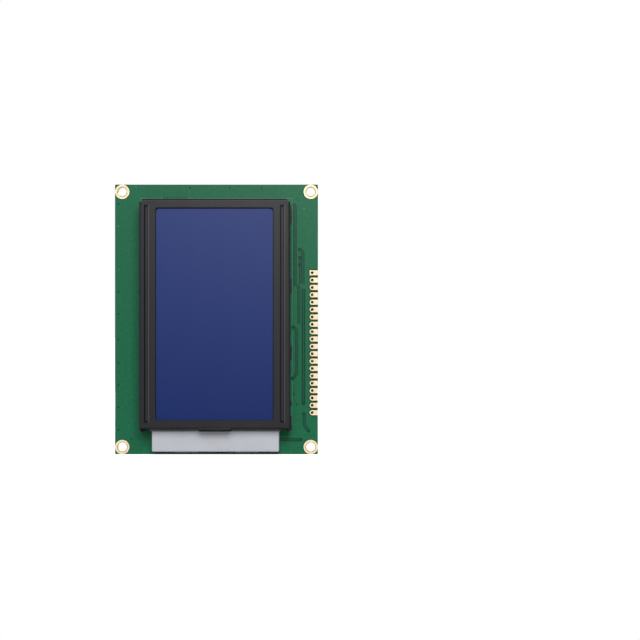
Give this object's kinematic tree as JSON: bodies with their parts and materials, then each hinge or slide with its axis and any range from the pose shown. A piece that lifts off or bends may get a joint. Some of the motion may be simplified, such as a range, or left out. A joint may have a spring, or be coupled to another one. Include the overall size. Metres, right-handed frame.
{
  "type": "graphic display module",
  "caption": "Portrait graphic liquid-crystal display module: glass cell in a black folded bezel on a green circuit board, edge header pads, backlight tail.",
  "frame": {"origin": "centre of the four mounting holes, on the front face of the circuit board", "axes": "+Z along the long side of the board, away from the backlight tail and towards the end where pin 1 of the header lies; -Y is the way the display looks, normal to the board; +X is the side of the header"},
  "size_m": [0.07, 0.0125, 0.093],
  "materials": {
    "green_board": "glass-fibre board under green solder mask, satin",
    "gold_pad": "gold-plated copper",
    "black_steel": "folded steel sheet, satin black paint",
    "cell_glass": "clear float glass",
    "blue_polariser": "blue polarising film",
    "grey_polariser": "polarising film",
    "white_film": "white optical film",
    "clear_acrylic": "clear acrylic",
    "white_housing": "white moulded plastic",
    "elastomer": "layered conductive silicone",
    "seal": "epoxy seal",
    "silicon": "bare silicon die",
    "black_resin": "black encapsulating resin, satin",
    "solder": "bright tin solder",
    "tinned_lead": "tinned copper lead",
    "resistor": "ceramic chip, black coat, tinned ends",
    "capacitor": "brown ceramic chip, tinned ends",
    "led": "moulded diode body"
  },
  "bodies": {
    "root": {"anode_lead": "tinned_lead", "anode_solder": "solder", "backlight_housing": "white_housing", "backlight_led_1": "led", "backlight_led_2": "led", "backlight_led_3": "led", "backlight_led_4": "led", "backlight_led_5": "led", "backlight_led_6": "led", "bare_lands": "gold_pad", "bezel": "black_steel", "blank_copper_bar": "gold_pad", "capacitor_1": "capacitor", "capacitor_2": "capacitor", "capacitor_3": "capacitor", "capacitor_4": "capacitor", "cathode_lead": "tinned_lead", "cathode_solder": "solder", "cell_seal": "seal", "chip_lands": "gold_pad", "chip_solder": "solder", "circuit_board": "green_board", "diffuser_film": "white_film", "front_glass": "cell_glass", "front_polariser": "blue_polariser", "header_pads": "gold_pad", "jumper_bridge_1": "solder", "jumper_bridge_2": "solder", "jumper_bridge_3": "solder", "jumper_bridge_4": "solder", "lead_lands": "gold_pad", "led_board": "green_board", "left_contact_strip": "elastomer", "light_guide": "clear_acrylic", "liquid_crystal_layer": "cell_glass", "lower_driver_cap": "black_resin", "lower_driver_die": "silicon", "middle_driver_cap": "black_resin", "middle_driver_die": "silicon", "mounting_hole_rings": "gold_pad", "rear_glass": "cell_glass", "rear_polariser": "grey_polariser", "reflector_film": "white_film", "resistor_1": "resistor", "resistor_2": "resistor", "resistor_3": "resistor", "resistor_4": "resistor", "resistor_5": "resistor", "resistor_6": "resistor", "resistor_7": "resistor", "resistor_8": "resistor", "resistor_9": "resistor", "right_contact_strip": "elastomer", "tab_slot_pads": "gold_pad", "upper_driver_cap": "black_resin", "upper_driver_die": "silicon"}
  },
  "joints": []
}
